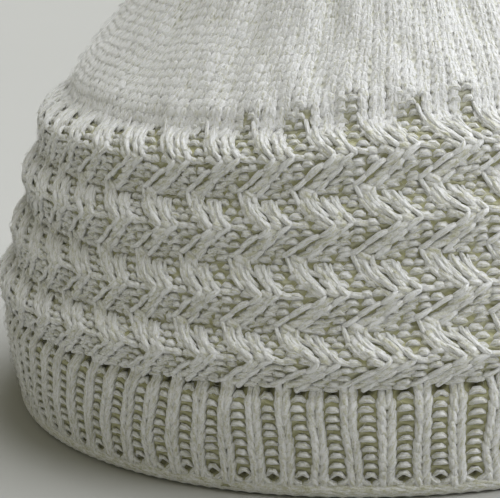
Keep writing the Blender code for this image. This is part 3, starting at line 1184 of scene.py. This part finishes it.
class KUFI_OT_zigzag_waves(bpy.types.Operator):
    """Knits the side: bundles of strands that zigzag over a purl ground. Each strand goes through
    the stations of its table, moved to its wave and tier, and leans to the right as it rises"""

    bl_idname = "kufi.zigzag_waves"
    bl_label = "Zigzag Waves"

    def execute(self, context):
        tier_rows = WAVE_ROWS // TIERS
        for name, table, seed in (("wave_climbs", CLIMB, 2), ("wave_falls", FALL, 12)):
            strands = cap_strands(context, seed)
            # The strands of one wave stray together, and each one a little by itself
            together = np.random.default_rng(SEED).standard_normal((TIERS * WAVES, 1))
            for kind, thickness, *stations in table:
                side, rise = np.array(stations) / 100
                # A strand that reaches under its tier is left out over the rib
                lowest = int(min(rise) < -0.2)
                wale, tier = stitch_grid(np.arange(WAVES) * WAVE_WALES, np.arange(lowest, TIERS))
                shift = 0.05 * together[-len(wale) :] + strands.wobble(wale, 0.035)
                at = tier * tier_rows + rise + strands.wobble(wale, 0.08)
                lean = LEAN * at / WAVE_ROWS
                turn = (wale + WAVE_PLACE + side + shift + lean) / WALES
                lifts, breadth, pale = KINDS[kind]
                lift = np.array(lifts) + strands.wobble(wale, 0.10)
                wide = thickness * breadth
                thick = 0.66 * wide
                along = wave_along(at)
                strands.add(turn, along, lift, wide=wide, thick=thick, sides=5, pale=pale)
            put_yarn(context, strands.mesh(name), name, "wave_side")

        strands = cap_strands(context, 3)
        back = 2 * context.scene.kufi_shape.wave_depth / strands.yarn
        for place, low, high in GROUND:
            wale, row = stitch_grid(np.arange(WAVES) * WAVE_WALES + place, np.arange(low, high))
            seen = (row + closed_rows(wale / WALES) < WAVE_ROWS + OPEN_ROWS)[:, 0]
            wale, row = wale[seen], row[seen]
            at = row + GROUND_HEAD_ROW + FIRST_HEAD_ROW * (row == 0) + HEAD_RISE
            at = at + strands.wobble(wale, 0.10)
            shift = strands.wobble(wale, 0.08) + sway(np.minimum(row, WAVE_ROWS) + 0.3)
            turn = (wale + WAVE_PLACE + HEAD_SIDE + shift) / WALES
            lift = HEAD_LIFT - back + OPEN_LIFT * (row >= WAVE_ROWS)
            lift = lift + strands.wobble(wale, 0.12)
            wide = 1.15 * HEAD_WIDE
            strands.add(turn, wave_along(at), lift, wide=wide, thick=0.75 * wide)
        put_yarn(context, strands.mesh("wave_ground"), "wave_ground", "wave_side")
        return {"FINISHED"}


class KUFI_OT_crown(bpy.types.Operator):
    """Knits the crown: flat V stitches that draw together into folds towards the top. Each leg
    goes through the stations of its table, moved to its wale and row, and leans by a cosine
    of the angle round the cap; a coil ties the top"""

    bl_idname = "kufi.crown"
    bl_label = "Crown"

    def execute(self, context):
        for number, spans in enumerate(CROWN_SPANS):
            strands = cap_strands(context, 4 + number)
            for low, high, skip in spans:
                wale, row = stitch_grid(np.arange(0, CROWN_WALES, skip), np.arange(low, high))
                phase = np.mod(wale / CROWN_WALES * WALES - WAVE_PLACE - LEAN, WAVE_WALES)
                above = np.clip(row + closed_rows(wale / CROWN_WALES), 0, PATCH_LAST)
                patch = PATCH_HALF - PATCH_NARROWING * above**PATCH_POWER
                knit = (np.abs(phase - PATCH_PLACE) > patch)[:, 0]
                wale, row = wale[knit], row[knit]
                most = CROWN_LEAN_MORE * np.cos(around(wale / CROWN_WALES) - CROWN_LEAN_SIDE)
                for hand in (-1, 1):
                    at = row + STUB_RISE + strands.wobble(wale, 0.06)
                    lean = (CROWN_LEAN + most) * smooth(0, CROWN_LEAN_ROWS, at)
                    shift = strands.wobble(wale, 0.025)
                    turn = (wale + 0.5 + hand * STUB_SIDE * skip + lean + shift) / CROWN_WALES
                    along = np.minimum(crown_along(at), APEX - CROWN_END)
                    radius = np.interp(along, ALONG, CURVE[:, 0])
                    room = 2 * np.pi * radius / CROWN_WALES * skip / 4
                    wide = np.minimum(CROWN_WIDEST, CROWN_FILL * room / (strands.yarn / 2))
                    thick = 0.2 * wide
                    # pale takes away some of the painted shade of the crown's stitches
                    strands.add(turn, along, STUB_LIFT, wide, thick, flat=True, pale=0.16)
            name = "crown_stitches_" + "abc"[number]
            put_yarn(context, strands.mesh(name), name, "crown")

        # The tie: one strand coiled inwards and upwards round the apex, its ends tucked in
        strands = cap_strands(context, 8)
        coil = np.linspace(0, TIE_TURNS, 72)[None]
        first, last = TIE_TUCKS
        lift = TIE_LIFT + TIE_RISE * coil - last * smooth(TIE_TURNS - TIE_END, TIE_TURNS, coil)
        lift = lift - first * (1 - smooth(0, TIE_END, coil))
        radius = TIE_RADIUS - TIE_CLOSER * coil
        strands.add(coil, APEX - radius, lift, sides=8, taper=0.95)
        put_yarn(context, strands.mesh("crown_tie"), "crown_tie", "crown")
        return {"FINISHED"}


class KUFI_OT_backing(bpy.types.Operator):
    """Makes the thin wall behind the stitches, whose inner face shows the purl side: the cap's
    surface moved inwards twice, with a groove under the waves and an eye at each purl foot"""

    bl_idname = "kufi.backing"
    bl_label = "Backing"

    def execute(self, context):
        surface = cap_surface(context)
        turn = ((np.arange(2 * WALES) / 2 + RIB_PLACE) / WALES)[None]
        rib = np.linspace(-1.2, RIB_ROWS + 0.4, 36)
        wave = np.linspace(0, WAVE_ROWS, 33)[1:]
        crown = np.linspace(0, CROWN_ROWS, 25)[1:-1]
        rows = np.concatenate([rib, rib[-1] + wave, rib[-1] + WAVE_ROWS + crown])
        along = np.concatenate([rib_along(rib), wave_along(wave), crown_along(crown)])[:, None]
        low, high = WALL_RISES
        sunk = 1 - smooth(CROWN_FOOT + low, CROWN_FOOT + high, along)
        odd = np.mod(np.arange(2 * WALES) / 2, 2) == 1
        groove = np.exp(-(((along - rib_along(GROOVE_ROW)) / GROOVE_WIDTH) ** 2))
        groove = (1 - GROOVE_SHALLOWER + GROOVE_SHALLOWER * odd) * groove
        eye = odd * np.exp(-(((along - rib_along(EYE_MIDDLE)) / EYE_WIDTH) ** 2))
        holes = np.maximum(groove, eye)
        outer = -WALL_OUTER - WALL_OUTER_SUNK * sunk - WALL_OUTER_GROOVE * holes + 0 * turn
        inner = -WALL_INNER - WALL_INNER_SUNK * sunk - WALL_INNER_GROOVE * groove + 0 * turn
        outer, _ = surface.place(turn, along, outer)
        inner, _ = surface.place(turn, along, inner)

        # Painted shade in the wall's gaps: most in the groove and the eyes, then in the rib
        in_rib = 1 - smooth(WAVE_FOOT - 0.001, WAVE_FOOT, along)
        outside = OUTSIDE_PAINTED_SHADE + SUNK_PAINTED_SHADE * sunk + RIB_PAINTED_SHADE * in_rib
        outside = np.maximum(outside, HOLE_PAINTED_SHADE * holes)
        painted_shade = np.concatenate([INSIDE_PAINTED_SHADE + 0 * outside, outside + 0 * turn])
        top = CURVE[-1, 1]
        poles = [[0, 0, top - WALL_INNER], [0, 0, top - WALL_TOP]]
        points, v = np.concatenate([inner[::-1], outer]), np.concatenate([rows[::-1], rows])
        mesh = grid_mesh("knit_wall", points, v, {"painted_shade": painted_shade}, poles)
        material = look(context, "knit_backing", backing_material)
        put(material, mesh, "knit_wall", "rib_band", "wave_side", "crown")
        return {"FINISHED"}


class KUFI_OT_fluff(bpy.types.Operator):
    """Scatters the yarn's loose fibres evenly: short hairs, each bent by its heading growing with
    the distance along it, that stand a little off the stitches"""

    bl_idname = "kufi.fluff"
    bl_label = "Fluff"

    def execute(self, context):
        strands = cap_strands(context, 9)
        random = strands.random

        # Three times as many as are needed, of which more are kept where the cap is wider
        along = random.uniform(0, APEX - HAIR_END, (3 * HAIRS, 1))
        radius = np.interp(along, ALONG, CURVE[:, 0])
        along = along[random.uniform(0, WIDEST, len(along)) < radius[:, 0]][:HAIRS]
        count = len(along)

        step = HAIR_STATIONS * random.uniform(*HAIR_LENGTHS, (count, 1))
        heading = random.uniform(0, 2 * np.pi, (count, 1))
        heading = heading + step * random.uniform(-HAIR_BEND, HAIR_BEND, (count, 1))
        radius = np.interp(along, ALONG, CURVE[:, 0])
        turn = random.uniform(0, 1, (count, 1)) + step * np.cos(heading) / (2 * np.pi * radius)
        lift = HAIR_RISE * random.uniform(*HAIR_RISES, (count, 1)) + HAIR_ROOT
        along = along + step * np.sin(heading)
        strands.add(turn, along, lift, HAIR_THICKNESS, HAIR_THICKNESS, sides=3)
        put_yarn(context, strands.mesh("fluff"), "fluff", "rib_band", "wave_side", "crown")
        return {"FINISHED"}


# The photograph's camera: its place, the point that it is aimed at, how far it is rolled,
# and its focal length in pixels of the picture
CAMERA_PLACE = Vector((0.00315, -0.45704, 0.14860))
CAMERA_AIM = Vector((-0.03329, 0, 0.03041))
CAMERA_ROLL = np.radians(-3.466)
FOCAL_PIXELS = 1919.8
PICTURE_WIDTH = 500

# The floor in metres: half its side, the radius up to which it is level, and how high it
# rises outside that; and its squares along a side
FLOOR_HALF = 12
FLOOR_LEVEL = 6
FLOOR_RISE = 2
FLOOR_SQUARES = 24

# Colours of the lights
COOL = (0.945, 0.965, 1.0)
WARM = (1.0, 0.99, 0.9)
SKY = (1.0, 0.97, 0.68, 1)


def camera_matrix():
    """The photograph's view: the camera looks from its place at its aim and is rolled about
    that line."""
    look_along = (CAMERA_AIM - CAMERA_PLACE).to_track_quat("-Z", "Y").to_matrix().to_4x4()
    roll = Matrix.Rotation(CAMERA_ROLL, 4, "Z")
    return Matrix.Translation(CAMERA_PLACE) @ look_along @ roll


def stage_material(name, colour):
    """Matt paper with a very faint grain."""
    material, maker, shader = new_material(name)
    darker = [0.985 * part for part in colour]
    shade = object_noise(maker, Scale=12.0).mix(opaque(colour), opaque(darker))
    material.node_tree.links.new(shade.socket, shader.inputs["Base Color"])
    shader.inputs["Roughness"].default_value = 0.95
    shader.inputs["Specular IOR Level"].default_value = 0.1
    return material


def soft_light(name, azimuth, elevation, strength, colour):
    """A wide soft light from so many degrees right of the front and above the floor."""
    data = bpy.data.lights.new(name, "SUN")
    data.angle = np.radians(90)
    data.energy = strength
    data.color = colour
    light = bpy.data.objects.new(name, data)
    light.rotation_euler = (np.radians(90 - elevation), 0, np.radians(azimuth))
    bpy.context.scene.collection.objects.link(light)


class KUFI_OT_stage(bpy.types.Operator):
    """Sets the pale floor, a grid that rises smoothly far out, the soft lights and the camera at
    the photograph's angle"""

    bl_idname = "kufi.stage"
    bl_label = "Stage"

    def execute(self, context):
        settings = context.scene.kufi_stage
        count = FLOOR_SQUARES
        span = np.linspace(-FLOOR_HALF, FLOOR_HALF, count + 1)
        x, y = np.meshgrid(span, span)
        z = FLOOR_RISE * smooth(FLOOR_LEVEL, FLOOR_HALF, np.hypot(x, y))
        points = np.stack([x, y, z], axis=-1).reshape(-1, 3)
        r, c = np.meshgrid(np.arange(count), np.arange(count), indexing="ij")
        first = r * (count + 1) + c
        quads = np.stack([first, first + 1, first + count + 2, first + count + 1], -1)
        mesh = bpy.data.meshes.new("floor")
        mesh.from_pydata(points.tolist(), [], quads.reshape(-1, 4).tolist())
        mesh.materials.append(stage_material("pale_floor", settings.floor))
        floor = bpy.data.objects.new("floor", mesh)
        context.scene.collection.objects.link(floor)

        soft_light("key_light", 111, 45, settings.key_power, COOL)
        soft_light("right_light", 85, 50, settings.right_power, COOL)
        soft_light("left_light", -60, 65, settings.left_power, WARM)
        world = bpy.data.worlds.new("soft_room")
        world.use_nodes = True
        sky = world.node_tree.nodes["Background"]
        sky.inputs["Color"].default_value = SKY
        sky.inputs["Strength"].default_value = settings.sky
        context.scene.world = world
        context.scene.view_settings.view_transform = "Standard"

        data = bpy.data.cameras.new("photo_camera")
        data.sensor_fit = "HORIZONTAL"
        data.sensor_width = 36.0
        data.lens = FOCAL_PIXELS / PICTURE_WIDTH * data.sensor_width
        data.clip_start = 0.01
        camera = bpy.data.objects.new("photo_camera", data)
        camera.matrix_world = camera_matrix()
        context.scene.collection.objects.link(camera)
        context.scene.camera = camera
        return {"FINISHED"}


class KUFI_PT_panel(bpy.types.Panel):
    """Lists the pieces of the cap and their settings"""

    bl_idname = "KUFI_PT_panel"
    bl_label = "Kufi Cap"
    bl_space_type = "VIEW_3D"
    bl_region_type = "UI"
    bl_category = "Kufi Cap"

    def draw(self, context):
        layout = self.layout
        for group in SETTINGS:
            box = layout.box()
            settings = getattr(context.scene, group)
            for name in settings.__annotations__:
                box.prop(settings, name)
        for operator in PIECES:
            layout.operator(operator.bl_idname)


SETTINGS = {
    "kufi_yarn": KufiYarnSettings,
    "kufi_shape": KufiShapeSettings,
    "kufi_stage": KufiStageSettings,
}
PIECES = (
    KUFI_OT_stage,
    KUFI_OT_rolled_hem,
    KUFI_OT_ribbed_band,
    KUFI_OT_zigzag_waves,
    KUFI_OT_crown,
    KUFI_OT_backing,
    KUFI_OT_fluff,
)


def register():
    """Registers the settings, the pieces and the panel."""
    for group in SETTINGS.values():
        bpy.utils.register_class(group)
    for name, group in SETTINGS.items():
        setattr(bpy.types.Scene, name, bpy.props.PointerProperty(type=group))
    for piece in (*PIECES, KUFI_PT_panel):
        bpy.utils.register_class(piece)


def unregister():
    """Takes them all away again."""
    for piece in (*PIECES, KUFI_PT_panel):
        bpy.utils.unregister_class(piece)
    for name in SETTINGS:
        delattr(bpy.types.Scene, name)
    for group in SETTINGS.values():
        bpy.utils.unregister_class(group)


def main():
    register()
    bpy.ops.kufi.stage()
    bpy.ops.kufi.rolled_hem()
    bpy.ops.kufi.ribbed_band()
    bpy.ops.kufi.zigzag_waves()
    bpy.ops.kufi.crown()
    bpy.ops.kufi.backing()
    bpy.ops.kufi.fluff()


if __name__ == "__main__":
    main()
